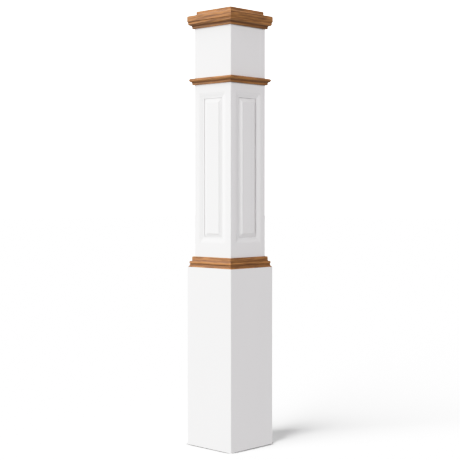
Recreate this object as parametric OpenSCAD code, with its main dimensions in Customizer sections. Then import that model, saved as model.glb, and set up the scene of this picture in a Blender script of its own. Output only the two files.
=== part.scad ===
// Box newel post: four mitred boards round a hollow, each with a raised panel let into it, a plinth
// of applied boards, stained oak mouldings and a two-tier oak cap.
// Millimetres, +Z up, origin on the floor under the post's middle.
// Everything is drawn on the front side, which faces -Y, and turned to the other three sides.

/* [Shaft] */
// Width of the square shaft over its boards
shaft_w = 156; // [130:1:200]
// Height of the shaft boards, from the floor to the underside of the cap
shaft_h = 1324; // [1050:0.5:1650]
// Thickness of a shaft board
shaft_board_t = 19; // [15:0.5:28]
// Radius of the eased arris along each painted corner
arris_r = 1.5; // [0.5:0.1:3]

/* [Plinth] */
// Height of the plinth boards
plinth_h = 560; // [400:1:680]
// Thickness of a plinth board
plinth_board_t = 17; // [16:0.5:28]

/* [Raised panel] */
// Plain margin of the board at each side of the panel's opening
stile_w = 22; // [15:0.5:30]
// Plain margin of the board between the opening and the neck moulding
top_rail_h = 27; // [15:0.5:60]
// Plain margin of the board between the opening and the base moulding
bottom_rail_h = 43.5; // [15:0.5:90]
// Width of the ogee worked round the edge of the opening
ogee_w = 17; // [10:0.5:20]
// Depth of the small step where the ogee starts
ogee_lip = 0.5; // [0.2:0.1:1]
// Depth of the ogee at its inner edge
ogee_d = 3; // [1.5:0.1:4]
// Depth of the panel's tongue below the board's face, where it bears on the board from behind
tongue_d = 6.6; // [5.6:0.1:9]
// How far the tongue reaches under the board, past the inner edge of the ogee
tongue_w = 9; // [5:0.5:12]
// Room left round the tongue in its rebate
panel_gap = 0.5; // [0.2:0.1:1.5]
// Width of the tongue that shows at the bottom of a quirk between the ogee and the bevel
quirk_w = 2; // [1:0.5:4]
// Depth of the bevel's outer edge, where the quirk is cut down from it to the tongue
bevel_d = 4.6; // [3:0.1:5.5]
// Width of the bevel that rises from the quirk to the field
bevel_w = 10.5; // [6:0.5:14]
// Radius of the hollow to which the bevel is worked
bevel_r = 50; // [30:1:200]
// Height of the step from the bevel up to the field
field_step = 1.2; // [0.3:0.1:2]

/* [Base moulding] */
// Height of the base moulding
base_moulding_h = 33.5; // [31:0.5:45]
// How far the base moulding stops short of the plinth's face
base_moulding_inset = 1.8; // [1:0.1:3]
// Projection of the flat band at the top of the base moulding
band_p = 6.4; // [5:0.1:7.5]
// Radius along the top edge of the band
band_edge_r = 2.6; // [1:0.1:4]
// Radius of the bead under the band
bead_r = 5; // [4:0.1:5]
// Height of the bead's middle above the plinth
bead_z = 14.3; // [13:0.1:15]
// How far the flared foot stands out past the bead
flare_out = 2.3; // [1.5:0.1:3]
// How far behind the bead the flared foot starts
flare_undercut = 1.6; // [1:0.1:3]
// How far the top of the flared foot is tucked up under the bead
flare_tuck = 0.7; // [0.3:0.1:1.5]
// Height of the upright edge at the bottom of the flared foot
flare_edge_h = 1.2; // [0.8:0.1:2]

/* [Neck and cap moulding] */
// Height of the plain head between the neck moulding and the cap moulding
head_h = 154; // [120:1:220]
// Height of the fillet at the bottom of the moulding
fillet_h = 5.4; // [4:0.1:8]
// Projection of the fillet from the shaft
fillet_p = 6; // [4:0.1:7]
// Radius along the bottom edge of the fillet
fillet_edge_r = 2.2; // [0.5:0.1:3]
// Radius of the cove above the fillet
cove_r = 4.6; // [3:0.1:5.2]
// Radius of the round nose at the top of the moulding
nose_r = 5.4; // [4.5:0.1:6]
// Projection of the neck moulding's nose from the shaft
neck_nose_p = 13.2; // [12:0.1:15]
// Projection of the cap moulding's nose from the shaft
cap_nose_p = 15; // [12:0.1:15]

/* [Cap] */
// How far the cap's lower tier stands out past the shaft
cap_overhang = 17; // [15:0.5:30]
// Height of the cap's lower tier
lower_tier_h = 20; // [14:0.5:28]
// How far the cap's upper tier is set in from the shaft's face
upper_tier_inset = 3.5; // [0:0.5:12]
// Height of the cap's upper tier
upper_tier_h = 14.5; // [10:0.5:22]
// Radius along the top edge of each tier
tier_edge_r = 4.4; // [2:0.1:5]
// Radius along the bottom edge of the lower tier
tier_foot_r = 2; // [0.5:0.1:2.5]
// Width of a cap rail, from its outer edge to its inner edge
cap_rail_w = 60; // [45:1:80]
// Width of the rebate that holds the cap board
rebate_w = 10; // [6:0.5:14]
// Thickness of the cap board, which is the depth of its rebate
cap_board_t = 12; // [9:0.5:18]

/* [Hidden] */
SIDES = ["front", "right", "back", "left"];
PIECES = [
    "shaft_board", "raised_panel", "plinth_board",
    "base_moulding", "neck_moulding", "cap_moulding", "cap_rail"
];

// How far a shape that cuts runs on past what it cuts
past = 1;
$fn = 64;
paint = "#F3F2F1";
oak = "#B68961";

shaft_half = shaft_w / 2;
plinth_half = shaft_half + plinth_board_t;

// The base moulding stands on the plinth boards
flare_p = plinth_board_t - base_moulding_inset;
bead_p = flare_p - flare_out;

// The cap moulding ends under the cap, and the neck moulding of the same section is a head below it
moulding_h = fillet_h + cove_r + 2 * nose_r;
cap_moulding_z = shaft_h - moulding_h;
neck_z = cap_moulding_z - head_h - moulding_h;

// The opening fills the shaft between the base moulding and the neck moulding, inside its margins.
// Its size is measured outside the ogee, and the sight size inside it.
opening_w = shaft_w - 2 * stile_w;
opening_bottom = plinth_h + base_moulding_h + bottom_rail_h;
opening_h = neck_z - top_rail_h - opening_bottom;
sight_w = opening_w - 2 * ogee_w;
sight_h = opening_h - 2 * ogee_w;
ogee_steps = 12;

cap_h = lower_tier_h + upper_tier_h;
cap_half = shaft_half + cap_overhang;
cap_board_w = 2 * (cap_half - cap_rail_w + rebate_w);

// Turns a front piece to side i: front, right, back, left
module on_side(i) rotate([0, 0, 90 * i]) children();

// Takes the corner at the origin, which points along +X +Y, back to a quarter round
module quarter_round_cut(r) {
    difference() {
        translate([-r, -r]) square(r + past);
        translate([-r, -r]) circle(r);
    }
}

// Square of width w with rounded corners
module eased_square(w, r) {
    square([w - 2 * r, w], center = true);
    square([w, w - 2 * r], center = true);
    for (x = [-1, 1], y = [-1, 1]) translate([x, y] * (w / 2 - r)) circle(r);
}

// A board of a square box of width w: 45 degree mitres at both long edges, eased outer corners
module mitred_board(w, t, h) {
    inner = w / 2 - t;
    linear_extrude(h) intersection() {
        eased_square(w, arris_r);
        polygon([[-w / 2, -w / 2], [w / 2, -w / 2], [inner, -inner], [-inner, -inner]]);
    }
}

// A length of moulding on the face at distance half from the axis, mitred at both ends. Its section
// is the child, drawn with X as the projection from that face and Y as the height above z.
module mitred_length(half, projection, z, h) {
    reach = half + projection;
    translate([0, 0, z]) intersection() {
        translate([0, -half, 0]) rotate([90, 0, -90]) linear_extrude(2 * reach, center = true) children();
        linear_extrude(h) polygon([[0, 0], [-reach, -reach], [reach, -reach]]);
    }
}

// Moves a shape drawn round the opening's middle, X across, Y up and Z out, to the front board's face
module at_opening() {
    translate([0, -shaft_half, opening_bottom + opening_h / 2]) rotate([90, 0, 0]) children();
}

// Works a border of the given width and depth round the inside of a w by h rectangle, mitred at its
// corners. Its section is the child, drawn inwards from the rectangle's edge along X.
module mitred_border(w, h, border, depth) {
    for (i = [0:3]) {
        run = i % 2 == 0 ? w : h;
        reach = (i % 2 == 0 ? h : w) / 2;
        rotate([0, 0, 90 * i]) translate([0, -reach, 0]) intersection() {
            rotate([90, 0, 90]) linear_extrude(run, center = true) children();
            translate([0, 0, -depth]) linear_extrude(2 * depth) polygon([
                [-run / 2, 0], [run / 2, 0], [run / 2 - border, border], [-run / 2 + border, border]
            ]);
        }
    }
}

// What the ogee takes off the edge of the opening
function ogee_depth(s) = ogee_lip + (ogee_d - ogee_lip) * (1 - cos(180 * s)) / 2;
module ogee_cut_section() {
    curve = [for (i = [0:ogee_steps]) [ogee_w * i / ogee_steps, -ogee_depth(i / ogee_steps)]];
    polygon(concat([[0, past]], curve, [[ogee_w, past]]));
}

module shaft_board() color(paint) difference() {
    mitred_board(shaft_w, shaft_board_t, shaft_h);
    at_opening() {
        mitred_border(opening_w, opening_h, ogee_w, ogee_d + past) ogee_cut_section();
        cube([sight_w, sight_h, 3 * shaft_board_t], center = true);
        translate([0, 0, -tongue_d - shaft_board_t])
            linear_extrude(shaft_board_t)
                square([sight_w + 2 * tongue_w, sight_h + 2 * tongue_w], center = true);
    }
}

// The hollow bevel's section, an arc from the quirk up to the step at the field
module panel_bevel_hollow(from, to) {
    chord = to - from;
    middle = (from + to) / 2;
    centre = middle + [-chord.y, chord.x] * sqrt(pow(bevel_r / norm(chord), 2) - 1 / 4);
    translate(centre) circle(bevel_r, $fn = 360);
}

// What is taken off the panel's edge to leave the tongue, the quirk and the bevel
module panel_cut_section() {
    bevel_start = tongue_w - panel_gap + quirk_w;
    bevel_end = bevel_start + bevel_w;
    translate([-past, -tongue_d]) square([bevel_start + past, tongue_d + past]);
    intersection() {
        translate([bevel_start, -tongue_d]) square([bevel_w, tongue_d + past]);
        union() {
            panel_bevel_hollow([bevel_start, -bevel_d], [bevel_end, -field_step]);
            polygon([[bevel_start, -bevel_d], [bevel_end, -field_step], [bevel_end, past], [bevel_start, past]]);
        }
    }
}

// The field is flush with the board's face, and the back is flush with the board's back
module raised_panel() color(paint) at_opening() difference() {
    w = sight_w + 2 * (tongue_w - panel_gap);
    h = sight_h + 2 * (tongue_w - panel_gap);
    border = tongue_w - panel_gap + quirk_w + bevel_w;
    translate([0, 0, -shaft_board_t]) linear_extrude(shaft_board_t) square([w, h], center = true);
    mitred_border(w, h, border, tongue_d + past) panel_cut_section();
}

module plinth_board() color(paint) mitred_board(2 * plinth_half, plinth_board_t, plinth_h);

// Band with a round top edge, bead, and a hollow foot that flares out to an upright edge
module base_section() {
    hollow_top = bead_z - bead_r + flare_tuck;
    hollow_x = bead_p - flare_undercut;
    rise = hollow_top - flare_edge_h;
    out = flare_p - hollow_x;
    hollow_r = (rise * rise + out * out) / (2 * out);
    difference() {
        square([band_p, base_moulding_h]);
        translate([band_p, base_moulding_h]) quarter_round_cut(band_edge_r);
    }
    translate([bead_p - bead_r, bead_z]) circle(bead_r);
    square([bead_p - bead_r, bead_z + bead_r]);
    difference() {
        square([flare_p, hollow_top]);
        translate([hollow_x + hollow_r, hollow_top]) circle(hollow_r);
    }
}

module base_moulding() color(oak)
    mitred_length(shaft_half, flare_p, plinth_h, base_moulding_h) base_section();

// Fillet with a round bottom edge, cove, and round nose that stands out by nose_p
module nosed_section(nose_p) {
    nose_x = nose_p - nose_r;
    cove_top = fillet_h + cove_r;
    difference() {
        square([fillet_p + cove_r, cove_top]);
        translate([fillet_p + cove_r, fillet_h]) circle(cove_r);
        translate([fillet_p, -past]) square([cove_r + past, fillet_h + past]);
        translate([fillet_p, 0]) rotate(-90) quarter_round_cut(fillet_edge_r);
    }
    square([nose_x, moulding_h]);
    translate([nose_x, cove_top + nose_r]) circle(nose_r);
    translate([0, cove_top]) square([fillet_p + cove_r, nose_r]);
}

module neck_moulding() color(oak)
    mitred_length(shaft_half, neck_nose_p, neck_z, moulding_h) nosed_section(neck_nose_p);

// The cap bears on the whole top of its moulding, so the nose is left square above its middle
module cap_moulding() color(oak)
    mitred_length(shaft_half, cap_nose_p, cap_moulding_z, moulding_h) {
        nosed_section(cap_nose_p);
        translate([0, moulding_h - nose_r]) square([cap_nose_p, nose_r]);
    }

// Two tiers with round edges, and a rebate for the cap board along the inner top edge
module cap_rail_section() {
    inner = cap_overhang - cap_rail_w;
    difference() {
        union() {
            translate([inner, 0]) square([cap_rail_w, lower_tier_h]);
            translate([inner, 0]) square([-upper_tier_inset - inner, cap_h]);
        }
        translate([cap_overhang, lower_tier_h]) quarter_round_cut(tier_edge_r);
        translate([cap_overhang, 0]) rotate(-90) quarter_round_cut(tier_foot_r);
        translate([-upper_tier_inset, cap_h]) quarter_round_cut(tier_edge_r);
        translate([inner - past, cap_h - cap_board_t]) square([rebate_w + past, cap_board_t + past]);
    }
}

module cap_rail() color(oak)
    mitred_length(shaft_half, cap_overhang, shaft_h, cap_h) cap_rail_section();

module cap_board() color(oak)
    translate([0, 0, shaft_h + cap_h - cap_board_t / 2])
        cube([cap_board_w, cap_board_w, cap_board_t], center = true);

for (i = [0:3]) {
    side = SIDES[i];
    on_side(i) shaft_board();
    on_side(i) raised_panel();
    on_side(i) plinth_board();
    on_side(i) base_moulding();
    on_side(i) neck_moulding();
    on_side(i) cap_moulding();
    on_side(i) cap_rail();
}
cap_board();
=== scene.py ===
import math

import bmesh
import bpy
from mathutils import Matrix, Vector


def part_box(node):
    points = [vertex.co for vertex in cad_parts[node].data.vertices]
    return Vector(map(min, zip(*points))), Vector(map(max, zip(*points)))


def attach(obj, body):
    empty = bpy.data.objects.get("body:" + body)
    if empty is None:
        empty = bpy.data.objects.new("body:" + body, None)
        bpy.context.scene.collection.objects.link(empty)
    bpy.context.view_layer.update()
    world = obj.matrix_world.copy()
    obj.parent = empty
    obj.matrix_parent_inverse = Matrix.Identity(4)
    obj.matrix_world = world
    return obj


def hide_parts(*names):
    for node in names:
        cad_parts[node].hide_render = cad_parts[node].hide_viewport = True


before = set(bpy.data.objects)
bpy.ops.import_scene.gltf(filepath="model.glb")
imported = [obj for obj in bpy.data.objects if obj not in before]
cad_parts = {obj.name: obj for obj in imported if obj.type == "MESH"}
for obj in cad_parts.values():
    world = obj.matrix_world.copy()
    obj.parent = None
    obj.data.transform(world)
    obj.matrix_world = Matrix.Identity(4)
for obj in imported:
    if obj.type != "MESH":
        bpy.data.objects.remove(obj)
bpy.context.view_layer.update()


# ---------------------------------------------------------------------------------------------
# Shaft boards. Four boards of the hollow shaft, from the floor to the cap, mitred down their long
# edges and glued. An ogee is worked round the opening that shows the panel, the opening is rebated
# from behind, and the arrises are eased before priming. Each is painted with the whole shaft.

MM = 0.001
SIDES = ("front", "right", "back", "left")


class Wire:
    """A socket in a node tree. Sums on wires add Math nodes, and node() adds any other node."""

    def __init__(self, tree, socket=None):
        self.tree = tree
        self.socket = socket

    def node(self, kind, settings, sockets, output=0):
        made = self.tree.nodes.new(kind)
        for name, value in settings.items():
            setattr(made, name, value)
        for key, value in sockets.items():
            if isinstance(value, Wire):
                self.tree.links.new(value.socket, made.inputs[key])
            else:
                made.inputs[key].default_value = value
        return Wire(self.tree, made.outputs[output])

    def sum(self, operation, a, b):
        return self.node("ShaderNodeMath", {"operation": operation}, {0: a, 1: b})

    def __add__(self, other):
        return self.sum("ADD", self, other)

    def __radd__(self, other):
        return self.sum("ADD", other, self)

    def __sub__(self, other):
        return self.sum("SUBTRACT", self, other)

    def __rsub__(self, other):
        return self.sum("SUBTRACT", other, self)

    def __mul__(self, other):
        return self.sum("MULTIPLY", self, other)

    def __rmul__(self, other):
        return self.sum("MULTIPLY", other, self)

    def __pow__(self, other):
        return self.sum("POWER", self, other)

    def stretched(self, scale):
        """This vector with each axis scaled by itself."""
        return self.node("ShaderNodeVectorMath", {"operation": "MULTIPLY"}, {0: self, 1: scale})

    def noise(self, scale, detail=2.0, roughness=0.5):
        """Noise from 0 to 1 on this vector, in metres. scale is the bumps to a metre on each axis."""
        return self.node("ShaderNodeTexNoise", {}, {
            "Vector": self.stretched(scale), "Scale": 1.0, "Detail": detail, "Roughness": roughness})

    def between(self, low, high):
        """0 below low, 1 above high, and smooth between."""
        return self.node(
            "ShaderNodeMapRange", {"interpolation_type": "SMOOTHSTEP"},
            {"Value": self, "From Min": low, "From Max": high})

    def blend(self, a, b):
        """Colour a where this wire is 0, colour b where it is 1."""
        return self.node("ShaderNodeMix", {"data_type": "RGBA"}, {0: self, 6: a, 7: b}, output=2)


def new_material(name):
    """An empty material, its shader and its output wired together, and a wire to start from."""
    material = bpy.data.materials.new(name)
    material.use_nodes = True
    tree = material.node_tree
    tree.nodes.clear()
    shader = tree.nodes.new("ShaderNodeBsdfPrincipled")
    surface = tree.nodes.new("ShaderNodeOutputMaterial")
    tree.links.new(shader.outputs["BSDF"], surface.inputs["Surface"])
    return material, shader, Wire(tree)


def feed(shader, name, wire):
    shader.id_data.links.new(wire.socket, shader.inputs[name])


PAINT_HOLLOW = (0.845, 0.838, 0.835, 1)
PAINT_PROUD = (0.885, 0.880, 0.878, 1)
PAINT_RELIEF = 0.12 * MM


def satin_paint():
    """White satin enamel, laid off along the board's length: faint brush lines and fine stipple."""
    material, shader, start = new_material("satin_white_paint")
    place = start.node("ShaderNodeTexCoord", {}, {}, output=3)
    cloud = place.noise((7, 7, 3), 2.0)
    brush = place.noise((420, 420, 6), 3.0, 0.6)
    stipple = place.noise((900, 900, 900), 1.0)
    tone = cloud * 0.7 + brush * 0.3
    feed(shader, "Base Color", tone.blend(PAINT_HOLLOW, PAINT_PROUD))
    feed(shader, "Roughness", 0.36 + 0.10 * brush)
    relief = brush * 0.6 + stipple * 0.4
    feed(shader, "Normal", start.node(
        "ShaderNodeBump", {}, {"Strength": 0.25, "Distance": PAINT_RELIEF, "Height": relief}))
    shader.inputs["IOR"].default_value = 1.48
    return material


PAINT = satin_paint()


def finish_piece(piece, material, node):
    """Puts the finish on a piece that stands for that CAD node and rides on the one body."""
    piece.data.materials.clear()
    piece.data.materials.append(material)
    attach(piece, "root")
    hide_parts(node)


def add_piece(name, mesh):
    piece = bpy.data.objects.new(name, mesh)
    bpy.context.scene.collection.objects.link(piece)
    return piece


def rectangle(half_w, low, high, y):
    return [(-half_w, y, low), (half_w, y, low), (half_w, y, high), (-half_w, y, high)]


def join_rings(shape, ring_a, ring_b):
    """Four faces between two rectangles with their corners in the same order."""
    for i in range(4):
        j = (i + 1) % 4
        shape.faces.new((ring_a[i], ring_a[j], ring_b[j], ring_b[i]))


def turned(mesh, side):
    mesh.transform(Matrix.Rotation(math.pi / 2 * SIDES.index(side), 4, "Z"))


MERGE = 0.0001 * MM


def close_shape(shape, name):
    """Merges a shape's doubles, turns its faces outwards and makes it a mesh."""
    bmesh.ops.remove_doubles(shape, verts=shape.verts, dist=MERGE)
    bmesh.ops.recalc_face_normals(shape, faces=shape.faces)
    mesh = bpy.data.meshes.new(name)
    shape.to_mesh(mesh)
    shape.free()
    return mesh


shaft_low, shaft_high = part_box("shaft_board_front")
shaft_half = -shaft_low.y
board_t = shaft_high.y - shaft_low.y
ARRIS_R = 1.5 * MM
ARRIS_STEPS = 5

# The ogee, the rebate that holds the panel's tongue, and the sight size of the opening inside the ogee
OGEE_W = 17 * MM
OGEE_LIP = 0.5 * MM
OGEE_DEPTH = 3 * MM
OGEE_STEPS = 20
TONGUE_DEPTH = 6.6 * MM
TONGUE_W = 9 * MM
PANEL_GAP = 0.5 * MM
panel_low, panel_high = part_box("raised_panel_front")
sight_half = panel_high.x - TONGUE_W + PANEL_GAP
sight_low = panel_low.z + TONGUE_W - PANEL_GAP
sight_high = panel_high.z - TONGUE_W + PANEL_GAP


def shaft_board_mesh(name):
    shape = bmesh.new()
    face_y, back_y = -shaft_half, -shaft_half + board_t
    flat_half, inner_half = shaft_half - ARRIS_R, shaft_half - board_t

    # Rectangles from the board's flat face down through the ogee to the back
    around = [(flat_half, shaft_low.z, shaft_high.z, face_y)]
    for i in range(OGEE_STEPS + 1):
        s = i / OGEE_STEPS
        depth = OGEE_LIP + (OGEE_DEPTH - OGEE_LIP) * (1 - math.cos(math.pi * s)) / 2
        grow = OGEE_W * (1 - s)
        if i == 0:
            around.append((sight_half + grow, sight_low - grow, sight_high + grow, face_y))
        around.append((sight_half + grow, sight_low - grow, sight_high + grow, face_y + depth))
    around.append((sight_half, sight_low, sight_high, face_y + TONGUE_DEPTH))
    rebate = (sight_half + TONGUE_W, sight_low - TONGUE_W, sight_high + TONGUE_W)
    around.append((*rebate, face_y + TONGUE_DEPTH))
    around.append((*rebate, back_y))
    around.append((inner_half, shaft_low.z, shaft_high.z, back_y))
    rings = [[shape.verts.new(p) for p in rectangle(*size)] for size in around]
    for a, b in zip(rings, rings[1:]):
        join_rings(shape, a, b)

    # The eased arris and the mitre down each long edge
    ends = {}
    for end, z in (("foot", shaft_low.z), ("head", shaft_high.z)):
        for sign in (-1, 1):
            edge = []
            for i in range(ARRIS_STEPS + 1):
                turn = math.pi / 4 * i / ARRIS_STEPS
                x = flat_half + ARRIS_R * math.sin(turn)
                y = -flat_half - ARRIS_R * math.cos(turn)
                edge.append(shape.verts.new((sign * x, y, z)))
            edge.append(shape.verts.new((sign * inner_half, back_y, z)))
            ends[end, sign] = edge
    for sign in (-1, 1):
        foot, head = ends["foot", sign], ends["head", sign]
        for i in range(len(foot) - 1):
            shape.faces.new((foot[i], foot[i + 1], head[i + 1], head[i]))
    for end in ("foot", "head"):
        shape.faces.new(ends[end, -1][::-1] + ends[end, 1])
    return close_shape(shape, name)


for side in SIDES:
    node = "shaft_board_" + side
    mesh = shaft_board_mesh(node)
    turned(mesh, side)
    finish_piece(add_piece("painted_" + node, mesh), PAINT, node)


# ---------------------------------------------------------------------------------------------
# Raised panels. One to each shaft board, let into its rebate from behind and painted with it. From
# a narrow dark quirk, a bevel cut slightly hollow rises to a square step, and above the step a flat
# field lies level with the board's face.

BEVEL_W = 10.5 * MM
BEVEL_R = 50 * MM
BEVEL_STEPS = 8
QUIRK_W = 2 * MM
BEVEL_DEPTH = 4.6 * MM
FIELD_STEP = 1.2 * MM
EASE_R = 0.35 * MM
EASE_STEPS = 3


def hollow(start, end, radius):
    """Points on an arc of that radius from start to end, with its centre in front of the board."""
    chord = end - start
    rise = math.sqrt(radius ** 2 - (chord.length / 2) ** 2)
    centre = (start + end) / 2 + Vector((-chord.y, chord.x)).normalized() * rise
    first = math.atan2(start.y - centre.y, start.x - centre.x)
    turn = math.atan2(end.y - centre.y, end.x - centre.x) - first
    return [(centre.x + radius * math.cos(first + turn * i / BEVEL_STEPS),
             centre.y + radius * math.sin(first + turn * i / BEVEL_STEPS))
            for i in range(BEVEL_STEPS + 1)]


def raised_panel_mesh(name):
    shape = bmesh.new()
    face_y, back_y = -shaft_half, -shaft_half + board_t
    tongue = panel_high.x
    quirk = sight_half - QUIRK_W
    field = quirk - BEVEL_W
    steps = [(tongue, back_y), (tongue, face_y + TONGUE_DEPTH), (quirk, face_y + TONGUE_DEPTH)]
    steps += hollow(Vector((quirk, face_y + BEVEL_DEPTH)), Vector((field, face_y + FIELD_STEP)), BEVEL_R)
    steps.append((field, face_y + EASE_R))
    for i in range(1, EASE_STEPS + 1):
        turn = math.pi / 2 * i / EASE_STEPS
        steps.append((field - EASE_R * (1 - math.cos(turn)), face_y + EASE_R * (1 - math.sin(turn))))
    rings = []
    for half, y in steps:
        shrink = tongue - half
        rings.append([shape.verts.new(p) for p in rectangle(
            half, panel_low.z + shrink, panel_high.z - shrink, y)])
    for a, b in zip(rings, rings[1:]):
        join_rings(shape, a, b)
    shape.faces.new(rings[0][::-1])
    shape.faces.new(rings[-1])
    return close_shape(shape, name)


for side in SIDES:
    node = "raised_panel_" + side
    mesh = raised_panel_mesh(node)
    turned(mesh, side)
    finish_piece(add_piece("painted_" + node, mesh), PAINT, node)


# ---------------------------------------------------------------------------------------------
# Plinth boards. Plain boards applied face to face over the foot of the shaft, mitred at the corners
# and painted with it. Their top edges carry the base moulding.

plinth_low, plinth_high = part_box("plinth_board_front")


def plinth_board_mesh(name):
    shape = bmesh.new()
    half = -plinth_low.y
    flat_half, inner_half = half - ARRIS_R, -plinth_high.y
    edges = []
    for sign in (-1, 1):
        edge = []
        for i in range(ARRIS_STEPS + 1):
            turn = math.pi / 4 * i / ARRIS_STEPS
            x = flat_half + ARRIS_R * math.sin(turn)
            edge.append((sign * x, -flat_half - ARRIS_R * math.cos(turn)))
        edge.append((sign * inner_half, -inner_half))
        edges.append(edge)
    outline = edges[0][::-1] + edges[1]
    foot = [shape.verts.new((x, y, plinth_low.z)) for x, y in outline]
    head = [shape.verts.new((x, y, plinth_high.z)) for x, y in outline]
    for i in range(len(outline)):
        j = (i + 1) % len(outline)
        shape.faces.new((foot[i], foot[j], head[j], head[i]))
    shape.faces.new(foot)
    shape.faces.new(head)
    return close_shape(shape, name)


for side in SIDES:
    node = "plinth_board_" + side
    mesh = plinth_board_mesh(node)
    turned(mesh, side)
    finish_piece(add_piece("painted_" + node, mesh), PAINT, node)


# ---------------------------------------------------------------------------------------------
# Base moulding. Four lengths of stained oak, run to one section, mitred at the corners and pinned
# to the shaft on top of the plinth boards: a flat band, a bead, and a hollow foot that flares out.

GRAIN = "grain"
RECESS = "recess"

# The depth at which a hollow is painted darkest, with pooled staining and painted shade,
# and the longest straightedge laid across one
DEEP_RECESS = 3 * MM
RECESS_REACH = 14 * MM
MITRE_GAP = 0.04 * MM
ROUND_STEPS = 10


def mitred_length_tree():
    """Sweeps a section along one side of the post and mitres both ends at 45 degrees.
    The section is a closed line with X as the projection from the face and -Y as the height."""
    tree = bpy.data.node_groups.new("mitred_length", "GeometryNodeTree")
    for name, kind in (("Section", "Geometry"), ("Face Distance", "Float"), ("Height", "Float"),
                       ("Mitre Gap", "Float"), ("Turn", "Float"), ("Grain Shift", "Vector"),
                       ("Material", "Material")):
        tree.interface.new_socket(name, in_out="INPUT", socket_type="NodeSocket" + kind)
    tree.interface.new_socket("Length", in_out="OUTPUT", socket_type="NodeSocketGeometry")
    source = tree.nodes.new("NodeGroupInput")
    given = {s.name: Wire(tree, s) for s in source.outputs if s.name}
    start = Wire(tree)
    section = start.node("GeometryNodeMeshToCurve", {}, {"Mesh": given["Section"]})
    line = start.node("GeometryNodeCurvePrimitiveLine", {}, {"Start": (-1, 0, 0), "End": (1, 0, 0)})
    swept = start.node("GeometryNodeCurveToMesh", {}, {
        "Curve": line, "Profile Curve": section, "Fill Caps": True})
    place = start.node("GeometryNodeInputPosition", {}, {})
    split = start.node("ShaderNodeSeparateXYZ", {}, {0: place}).socket.node
    along, inwards, up = (Wire(tree, split.outputs[i]) for i in range(3))
    depth = given["Face Distance"] - inwards
    mitred = start.node("ShaderNodeCombineXYZ", {}, {
        0: along * (depth - given["Mitre Gap"]), 1: -1 * depth, 2: up + given["Height"]})
    placed = start.node("GeometryNodeSetPosition", {}, {"Geometry": swept, "Position": mitred})
    grain = start.node("ShaderNodeVectorMath", {"operation": "ADD"}, {
        0: place, 1: given["Grain Shift"]})
    marked = start.node(
        "GeometryNodeStoreNamedAttribute", {"data_type": "FLOAT_VECTOR", "domain": "POINT"},
        {"Geometry": placed, "Name": GRAIN, "Value": grain})
    turn = start.node("ShaderNodeCombineXYZ", {}, {2: given["Turn"]})
    on_side = start.node("GeometryNodeTransform", {}, {"Geometry": marked, "Rotation": turn})
    real = start.node("GeometryNodeRealizeInstances", {}, {"Geometry": on_side})
    dressed = start.node("GeometryNodeSetMaterial", {}, {
        "Geometry": real, "Material": given["Material"]})
    sink = tree.nodes.new("NodeGroupOutput")
    tree.links.new(dressed.socket, sink.inputs[0])
    return tree


MITRED_LENGTH = mitred_length_tree()


def arc(centre, radius, start_deg, end_deg, steps=ROUND_STEPS):
    """Points on an arc of a section, counter-clockwise to the end angle, or clockwise if it is less."""
    points = []
    for i in range(steps + 1):
        turn = math.radians(start_deg + (end_deg - start_deg) * i / steps)
        points.append((centre[0] + radius * math.cos(turn), centre[1] + radius * math.sin(turn)))
    return points


def recess_depth(point, section):
    """How far a point of a section lies behind the straightedge laid across the parts beside it, from
    0 where the edge touches it to 1 where it lies deep in a hollow."""
    deepest = 0.0
    for p_a, z_a in section:
        for p_b, z_b in section:
            if z_a < point[1] < z_b and math.hypot(p_b - p_a, z_b - z_a) < RECESS_REACH:
                edge = p_a + (p_b - p_a) * (point[1] - z_a) / (z_b - z_a)
                deepest = max(deepest, edge - point[0])
    return min(1.0, deepest / DEEP_RECESS)


def run_length(name, section, height, side, face_distance, shift, material):
    """A mitred length of a section on one side of the post, as a plain mesh piece."""
    outline = bpy.data.meshes.new(name)
    count = len(section)
    outline.from_pydata([(p, -z, 0) for p, z in reversed(section)],
                        [(i, (i + 1) % count) for i in range(count)], [])
    recess = outline.attributes.new(RECESS, "FLOAT", "POINT")
    for i, point in enumerate(reversed(section)):
        recess.data[i].value = recess_depth(point, section)
    piece = add_piece(name, outline)
    sweep = piece.modifiers.new("sweep", "NODES")
    sweep.node_group = MITRED_LENGTH
    values = {"Face Distance": face_distance, "Height": height, "Mitre Gap": MITRE_GAP,
              "Turn": math.pi / 2 * SIDES.index(side), "Grain Shift": shift, "Material": material}
    for socket in MITRED_LENGTH.interface.items_tree:
        if socket.name in values:
            sweep[socket.identifier] = values[socket.name]
    graph = bpy.context.evaluated_depsgraph_get()
    piece.data = bpy.data.meshes.new_from_object(piece.evaluated_get(graph))
    piece.modifiers.clear()
    return piece


# Width of a growth ring, and how far the grain runs out of each length, in radians
RING_SPACING = 7.5 * MM
RUN_OUT = (0, 0.05, 0.06)

PALE_WOOD = (0.42, 0.182, 0.051, 1)
DARK_WOOD = (0.148, 0.057, 0.013, 1)
POOLED_STAIN_AND_SHADE = (0.16, 0.060, 0.013, 1)
PORE = (0.12, 0.047, 0.016, 1)
GRAIN_RELIEF = 0.18 * MM


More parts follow.
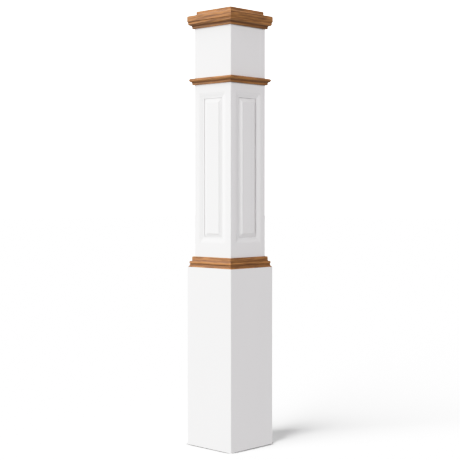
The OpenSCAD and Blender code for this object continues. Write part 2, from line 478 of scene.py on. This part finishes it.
def stained_oak():
    """Straight-sawn oak, stained mid brown under satin lacquer: growth rings, fibres and pores that
    run along each length, read from the grain attribute in metres. Hollows, which the recess
    attribute marks, are painted darker: partly the staining that wiping leaves, partly painted shade."""
    material, shader, start = new_material("stained_oak")
    place = start.node("ShaderNodeAttribute", {"attribute_name": GRAIN}, {}, output=1)
    place = start.node("ShaderNodeMapping", {}, {"Vector": place, "Rotation": RUN_OUT})
    wander = place.noise((1.6, 11, 11), 3.0) - 0.5
    split = start.node("ShaderNodeSeparateXYZ", {}, {0: place}).socket.node
    deep, high = Wire(start.tree, split.outputs[1]), Wire(start.tree, split.outputs[2])
    rings = (high * 0.8 + deep * 0.6 + wander * 0.03) * (1 / RING_SPACING)
    late = start.node("ShaderNodeMath", {"operation": "FRACT"}, {0: rings}) ** 1.8
    streak = place.noise((9, 260, 260), 2.0, 0.55).between(0.42, 0.60)
    fibre = place.noise((14, 700, 700), 3.0, 0.6)
    pores = place.noise((55, 2300, 2300), 2.0).between(0.60, 0.72)
    tone = late * 0.60 + streak * 0.62 + fibre * 0.40 - 0.35
    wood = tone.blend(PALE_WOOD, DARK_WOOD)
    recess = start.node("ShaderNodeAttribute", {"attribute_name": RECESS}, {}, output=2)
    # Hollows are painted darker: partly the staining that wiping leaves there, partly painted shade
    stain_and_shade = (recess ** 2 * 0.9).blend(wood, POOLED_STAIN_AND_SHADE)
    feed(shader, "Base Color", (pores * 0.45).blend(stain_and_shade, PORE))
    feed(shader, "Roughness", 0.40 + 0.14 * fibre + 0.12 * pores)
    relief = 0.7 * fibre - pores * 0.8 + late * 0.2
    feed(shader, "Normal", start.node(
        "ShaderNodeBump", {}, {"Strength": 0.35, "Distance": GRAIN_RELIEF, "Height": relief}))
    shader.inputs["IOR"].default_value = 1.4
    return material


OAK = stained_oak()

base_low, base_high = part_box("base_moulding_front")
base_h = base_high.z - base_low.z
flare_p = -base_low.y - shaft_half
BAND_P = 6.4 * MM
BAND_EDGE_R = 2.6 * MM
BEAD_R = 5 * MM
BEAD_Z = 14.3 * MM
FLARE_OUT = 2.3 * MM
FLARE_UNDERCUT = 1.6 * MM
FLARE_TUCK = 0.7 * MM
FLARE_EDGE_H = 1.2 * MM
BEAD_STEPS = 16


def base_section():
    bead_x = flare_p - FLARE_OUT - BEAD_R
    hollow_x = flare_p - FLARE_OUT - FLARE_UNDERCUT
    hollow_top = BEAD_Z - BEAD_R + FLARE_TUCK
    rise, out = hollow_top - FLARE_EDGE_H, flare_p - hollow_x
    hollow_r = (rise * rise + out * out) / (2 * out)
    hollow_end = 180 + math.degrees(math.asin(rise / hollow_r))
    tuck = math.degrees(math.asin((hollow_top - BEAD_Z) / BEAD_R))
    points = [(0, 0), (flare_p, 0)]
    points += arc((hollow_x + hollow_r, hollow_top), hollow_r, hollow_end, 180)
    points += arc((bead_x, BEAD_Z), BEAD_R, tuck, 90, BEAD_STEPS)
    points.append((BAND_P, BEAD_Z + BEAD_R))
    points += arc((BAND_P - BAND_EDGE_R, base_h - BAND_EDGE_R), BAND_EDGE_R, 0, 90)
    points.append((0, base_h))
    return points


def grain_shift(number):
    """Which billet a piece was cut from, as a place in the grain, so that no two share their figure."""
    return Vector((1.7 * number, 0.31 * number, 0.83 * number))


for number, side in enumerate(SIDES):
    node = "base_moulding_" + side
    piece = run_length("oak_" + node, base_section(), base_low.z, side, shaft_half,
                       grain_shift(number), OAK)
    finish_piece(piece, OAK, node)


# ---------------------------------------------------------------------------------------------
# Neck and cap mouldings. Eight lengths of stained oak of one smaller section: fillet, cove and round
# nose. Four go round the shaft under its plain head. Four go under the cap, which bears on their
# whole top, so their nose is left square above its middle.

FILLET_H = 5.4 * MM
FILLET_P = 6 * MM
FILLET_EDGE_R = 2.2 * MM
COVE_R = 4.6 * MM
NOSE_R = 5.4 * MM
EDGE_STEPS = 6
NOSE_STEPS = 20
HALF_NOSE_STEPS = 12
FIRST_BILLET = {"neck": 5, "cap": 9}


def nosed_section(nose_p, height, square_top):
    cove_x, cove_top = FILLET_P + COVE_R, FILLET_H + COVE_R
    nose_x, nose_z = nose_p - NOSE_R, cove_top + NOSE_R
    meet = -math.degrees(math.acos((cove_x - nose_x) / NOSE_R))
    points = [(0, 0)]
    points += arc((FILLET_P - FILLET_EDGE_R, FILLET_EDGE_R), FILLET_EDGE_R, -90, 0, EDGE_STEPS)
    points += arc((cove_x, FILLET_H), COVE_R, 180, 90)
    if square_top:
        points += arc((nose_x, nose_z), NOSE_R, meet, 0, HALF_NOSE_STEPS)
        points.append((nose_p, height))
    else:
        points += arc((nose_x, nose_z), NOSE_R, meet, 90, NOSE_STEPS)
    points.append((0, height))
    return points


for place, first_billet in FIRST_BILLET.items():
    low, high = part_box(place + "_moulding_front")
    section = nosed_section(-low.y - shaft_half, high.z - low.z, place == "cap")
    for number, side in enumerate(SIDES):
        node = f"{place}_moulding_{side}"
        piece = run_length("oak_" + node, section, low.z, side, shaft_half,
                           grain_shift(first_billet + number), OAK)
        finish_piece(piece, OAK, node)


# ---------------------------------------------------------------------------------------------
# Cap rails. Four lengths of thick oak, worked in two tiers with round edges and mitred into a
# frame that sits on the shaft's end and on the cap moulding. They are rebated for the cap board.

TIER_EDGE_R = 4.4 * MM
TIER_FOOT_R = 2 * MM
LOWER_TIER_H = 20 * MM
UPPER_TIER_INSET = 3.5 * MM
REBATE_W = 10 * MM
TIER_FOOT_STEPS = 5
RAIL_BILLET = 14
rail_low, rail_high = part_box("cap_rail_front")
board_low, board_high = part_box("cap_board")


def cap_rail_section():
    out = -rail_low.y - shaft_half
    inner = -rail_high.y - shaft_half
    height = rail_high.z - rail_low.z
    seat = board_low.z - rail_low.z
    points = [(inner, 0)]
    points += arc((out - TIER_FOOT_R, TIER_FOOT_R), TIER_FOOT_R, -90, 0, TIER_FOOT_STEPS)
    points += arc((out - TIER_EDGE_R, LOWER_TIER_H - TIER_EDGE_R), TIER_EDGE_R, 0, 90)
    points.append((-UPPER_TIER_INSET, LOWER_TIER_H))
    points += arc((-UPPER_TIER_INSET - TIER_EDGE_R, height - TIER_EDGE_R), TIER_EDGE_R, 0, 90)
    points += [(inner + REBATE_W, height), (inner + REBATE_W, seat), (inner, seat)]
    return points


for number, side in enumerate(SIDES):
    node = "cap_rail_" + side
    piece = run_length("oak_" + node, cap_rail_section(), rail_low.z, side, shaft_half,
                       grain_shift(RAIL_BILLET + number), OAK)
    finish_piece(piece, OAK, node)


# ---------------------------------------------------------------------------------------------
# Cap board. A flat square of oak glued into the rebate in the rails, flush with the cap's top. Its
# arris is just broken with sandpaper, which leaves a fine line round it.

EASE = 0.4 * MM
EASE_SEGMENTS = 2
BOARD_BILLET = 19
shape = bmesh.new()
bmesh.ops.create_cube(shape, size=1.0)
for corner in shape.verts:
    corner.co = Vector(board_high[i] if corner.co[i] > 0 else board_low[i] for i in range(3))
top_edges = [e for e in shape.edges if all(v.co.z > board_high.z - EASE for v in e.verts)]
bmesh.ops.bevel(shape, geom=top_edges, offset=EASE, segments=EASE_SEGMENTS, affect="EDGES")
cap_board = add_piece("oak_cap_board", close_shape(shape, "oak_cap_board"))
grain = cap_board.data.attributes.new(GRAIN, "FLOAT_VECTOR", "POINT")
for i, corner in enumerate(cap_board.data.vertices):
    grain.data[i].vector = corner.co.xzy + grain_shift(BOARD_BILLET)
finish_piece(cap_board, OAK, "cap_board")


# ---------------------------------------------------------------------------------------------
# The studio: a white table that the post stands on, broad banks of light round it and a glow from
# below and behind. The table has its own lamp, and neither lights nor shades the post. The camera
# stands at eye level for the panels.

FLOOR_HALF = 30.0
TABLE_WHITE = (0.85, 0.85, 0.85, 1)
TABLE_GLOW = 0.22
CONTACT_REACH = 0.028
CONTACT_SAMPLES = 12
floor_mesh = bpy.data.meshes.new("floor")
floor_mesh.from_pydata(rectangle(FLOOR_HALF, -FLOOR_HALF, FLOOR_HALF, 0), [], [(0, 1, 2, 3)])
floor_mesh.transform(Matrix.Rotation(-math.pi / 2, 4, "X"))
floor = add_piece("floor", floor_mesh)

# The table's colour and glow are painted darker right against the foot: a painted contact shadow where
# little light gets in
floor_material, floor_shader, floor_start = new_material("light_table")
open_above = floor_start.node(
    "ShaderNodeAmbientOcclusion", {"samples": CONTACT_SAMPLES}, {"Distance": CONTACT_REACH}, output=1)
open_above = open_above.between(0.5, 0.95)
feed(floor_shader, "Base Color", open_above.blend((0.02, 0.02, 0.02, 1), TABLE_WHITE))
feed(floor_shader, "Emission Color", open_above.blend((0, 0, 0, 1), (1, 1, 1, 1)))
floor_shader.inputs["Emission Strength"].default_value = TABLE_GLOW
floor_shader.inputs["Roughness"].default_value = 1.0
floor_shader.inputs["Specular IOR Level"].default_value = 0.0
floor_mesh.materials.append(floor_material)
floor.visible_diffuse = False
floor.visible_glossy = False
floor.visible_shadow = False

AZIMUTH = 43.874
TILT = 1.782
DISTANCE = 3.5066
EYE_HEIGHT = 0.7849
LENS = 87.37
SENSOR_WIDTH = 36
FARTHEST = 200


def compass(azimuth, elevation):
    """The direction at an angle round the post, from its front towards its right, and an angle up."""
    a, e = math.radians(azimuth), math.radians(elevation)
    return Vector((math.sin(a) * math.cos(e), -math.cos(a) * math.cos(e), math.sin(e)))


camera_data = bpy.data.cameras.new("camera")
camera_data.sensor_width = SENSOR_WIDTH
camera_data.lens = LENS
camera_data.clip_end = FARTHEST
camera = bpy.data.objects.new("camera", camera_data)
camera.location = compass(AZIMUTH, 0) * DISTANCE + Vector((0, 0, EYE_HEIGHT))
camera.rotation_euler = (math.radians(90 - TILT), 0, math.radians(AZIMUTH))
bpy.context.scene.collection.objects.link(camera)
bpy.context.scene.camera = camera

table_only = bpy.data.collections.new("table_only")
table_only.objects.link(floor)
all_but_table = bpy.data.collections.new("all_but_table")
all_but_table.objects.link(floor)
all_but_table.collection_objects[0].light_linking.link_state = "EXCLUDE"

# Each bank's angle round the post and up, its spread in degrees, its strength and its colour
NEUTRAL = (1, 1, 1)
FAINT_LILAC = (1.0, 0.972, 0.995)
POST_BANKS = {
    "high_bank": (-60, 62, 40, 0.76, NEUTRAL),
    "left_bank": (-62, 6, 35, 0.46, NEUTRAL),
    "front_bank": (0, 40, 34, 0.50, NEUTRAL),
    "low_bank": (15, 6, 30, 0.44, NEUTRAL),
    "right_bank": (100, 22, 40, 0.53, FAINT_LILAC),
}
TABLE_BANKS = {"table_bank": (-2, 32, 50, 2.85, NEUTRAL)}

for banks, lit in ((POST_BANKS, all_but_table), (TABLE_BANKS, table_only)):
    for name, (azimuth, elevation, spread, strength, colour) in banks.items():
        lamp = bpy.data.lights.new(name, "SUN")
        lamp.energy = strength * math.pi
        lamp.angle = math.radians(spread)
        lamp.color = colour
        light = bpy.data.objects.new(name, lamp)
        light.rotation_euler = compass(azimuth, elevation).to_track_quat("Z", "Y").to_euler()
        light.light_linking.receiver_collection = lit
        bpy.context.scene.collection.objects.link(light)

# The surround glows from below and from beyond the back left corner, and the camera sees it white.
# Each glow has its angle round the post and up, its sharpness and its strength.
GLOWS = ((0, -90, 1, 0.6), (224, 12, 2, 1.2))
WHITE = 2.5
world = bpy.data.worlds.new("surround")
bpy.context.scene.world = world
world.use_nodes = True
world.node_tree.nodes.clear()
sky = Wire(world.node_tree)
towards = sky.node("ShaderNodeTexCoord", {}, {})
glow = 0.0
for azimuth, elevation, sharpness, strength in GLOWS:
    facing = sky.node("ShaderNodeVectorMath", {"operation": "DOT_PRODUCT"},
                      {0: towards, 1: compass(azimuth, elevation)}, output=1)
    lobe = sky.node("ShaderNodeMath", {"operation": "MAXIMUM"}, {0: facing, 1: 0.0}) ** sharpness
    glow = glow + strength * lobe
seen = sky.node("ShaderNodeLightPath", {}, {})
surround = sky.node("ShaderNodeBackground", {}, {
    "Color": (1, 1, 1, 1), "Strength": glow + seen * (WHITE - glow)})
sky_end = world.node_tree.nodes.new("ShaderNodeOutputWorld")
world.node_tree.links.new(surround.socket, sky_end.inputs["Surface"])

# The exposure rolls off softly to white, as it does on film: light in, light out
ROLL_OFF = ((0.3, 0.3), (0.62, 0.62), (0.75, 0.715), (0.9, 0.8), (1.05, 0.868), (1.18, 0.913),
            (1.35, 0.955), (1.5, 0.98))
BRIGHTEST = 1.7
view = bpy.context.scene.view_settings
view.view_transform = "Standard"
view.use_curve_mapping = True
view.curve_mapping.white_level = (BRIGHTEST, BRIGHTEST, BRIGHTEST)
for light_in, light_out in ROLL_OFF:
    view.curve_mapping.curves[3].points.new(light_in / BRIGHTEST, light_out)
view.curve_mapping.update()
